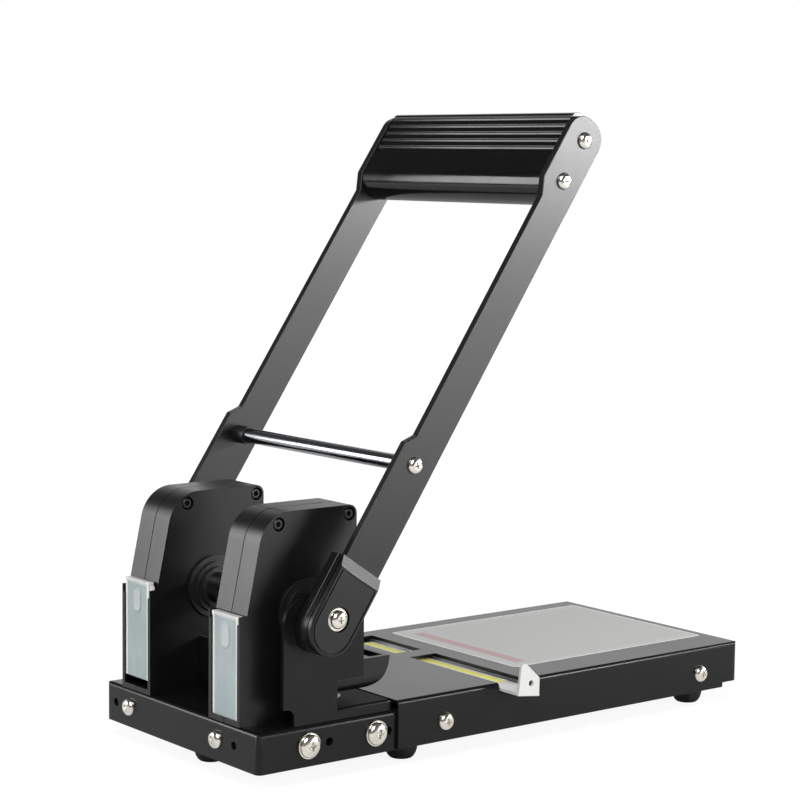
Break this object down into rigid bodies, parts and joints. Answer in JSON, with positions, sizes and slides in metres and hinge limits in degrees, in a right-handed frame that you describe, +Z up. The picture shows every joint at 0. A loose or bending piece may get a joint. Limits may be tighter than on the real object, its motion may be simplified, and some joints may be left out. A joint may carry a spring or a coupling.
{
  "type": "two-hole paper punch",
  "caption": "Heavy-duty lever paper punch: a long lever turns a shaft whose pinions push hollow punches through paper on a sheet-metal table with a sliding ruler stop.",
  "frame": {"origin": "on the surface it stands on, under the middle of the rear foot, which lies midway across the machine and 41 mm behind the line through the two punched holes", "axes": "+Z up; +X across the machine to the right of the person at the lever; -Y towards that person, along the table"},
  "size_m": [0.1666, 0.3267, 0.3248],
  "materials": {
    "black_sheet": "semi-gloss black powder coat with a fine orange-peel grain",
    "zinc_sheet": "dull zinc-plated sheet",
    "white_steel": "satin white paint",
    "scale_print": "satin printed film, yellow with white edges",
    "machined_steel": "machined steel",
    "disc_plastic": "plain nylon",
    "moulded_black": "satin black moulding with fine sheen",
    "milky_plastic": "translucent milky plastic",
    "tool_steel": "ground tool steel",
    "black_oxide": "black oxide",
    "spring_steel": "bright drawn wire",
    "polished_steel": "polished bright bar",
    "bush_plastic": "satin black nylon",
    "grip_black": "glossy black moulding",
    "nickel": "nickel-plated with a warm cast in the recess",
    "foot_rubber": "matt black rubber"
  },
  "bodies": {
    "base": {"base_tray": "black_sheet", "bottom_plate": "zinc_sheet", "table_cover": "black_sheet", "ruler_channel": "zinc_sheet", "bed_plate": "machined_steel", "cutting_discs": "disc_plastic", "side_plate_left": "black_sheet", "side_plate_right": "black_sheet", "punch_bridge": "moulded_black", "tower_left_outer": "moulded_black", "tower_left_inner": "moulded_black", "tower_right_inner": "moulded_black", "tower_right_outer": "moulded_black", "guide_channel_left": "zinc_sheet", "guide_channel_right": "zinc_sheet", "return_spring_left": "spring_steel", "return_spring_right": "spring_steel", "tower_bushes": "bush_plastic", "plate_bushes": "bush_plastic", "rear_screws": "nickel", "side_screws": "nickel", "side_washers": "nickel", "cover_screws": "nickel", "bridge_screws": "nickel", "channel_screws": "nickel", "tower_screws": "black_oxide", "tower_base_screws": "nickel", "feet": "foot_rubber", "foot_screws": "nickel"},
    "lever": {"drive_shaft": "polished_steel", "pinion_left": "machined_steel", "pinion_right": "machined_steel", "pinion_pins": "tool_steel", "lever_arm_left": "black_sheet", "lever_arm_right": "black_sheet", "cross_rod": "polished_steel", "rod_collar": "black_oxide", "rod_screws": "nickel", "grip": "grip_black", "grip_screws": "nickel", "hub_base_left": "moulded_black", "hub_base_right": "moulded_black", "hub_cap_left": "moulded_black", "hub_cap_right": "moulded_black", "hub_screws": "nickel", "hub_washers": "nickel"},
    "punch_left": {"punch_holder_left": "machined_steel", "punch_pin_left": "tool_steel", "pin_set_screw_left": "black_oxide"},
    "punch_right": {"punch_holder_right": "machined_steel", "punch_pin_right": "tool_steel", "pin_set_screw_right": "black_oxide"},
    "ruler": {"ruler": "white_steel", "scale_strip": "scale_print"},
    "window_left": {"chip_window_left": "milky_plastic"},
    "window_right": {"chip_window_right": "milky_plastic"}
  },
  "joints": [
    {"name": "lever_swing", "type": "hinge", "parent": "base", "child": "lever", "pos_m": [0, -0.0197, 0.0823], "axis": [1, 0, 0], "range_deg": [0, 48], "stiffness_Nm_per_rad": 1.6, "springref_deg": -68.75},
    {"name": "punch_left_stroke", "type": "slide", "parent": "base", "child": "punch_left", "axis": [0, 0, -1], "range_m": [0, 0.0105], "deforming": ["return_spring_left"]},
    {"name": "punch_right_stroke", "type": "slide", "parent": "base", "child": "punch_right", "axis": [0, 0, -1], "range_m": [0, 0.0105], "deforming": ["return_spring_right"]},
    {"name": "ruler_slide", "type": "slide", "parent": "base", "child": "ruler", "axis": [1, 0, 0], "range_m": [-0.08, 0.01]},
    {"name": "window_left_slide", "type": "slide", "parent": "base", "child": "window_left", "axis": [0, 0, 1], "range_m": [0, 0.045]},
    {"name": "window_right_slide", "type": "slide", "parent": "base", "child": "window_right", "axis": [0, 0, 1], "range_m": [-0.0043, 0.0407]}
  ],
  "couplings": [
    {"joint": "punch_left_stroke", "follows": "lever_swing", "m_per_rad": 0.0125},
    {"joint": "punch_right_stroke", "follows": "lever_swing", "m_per_rad": 0.0125}
  ]
}
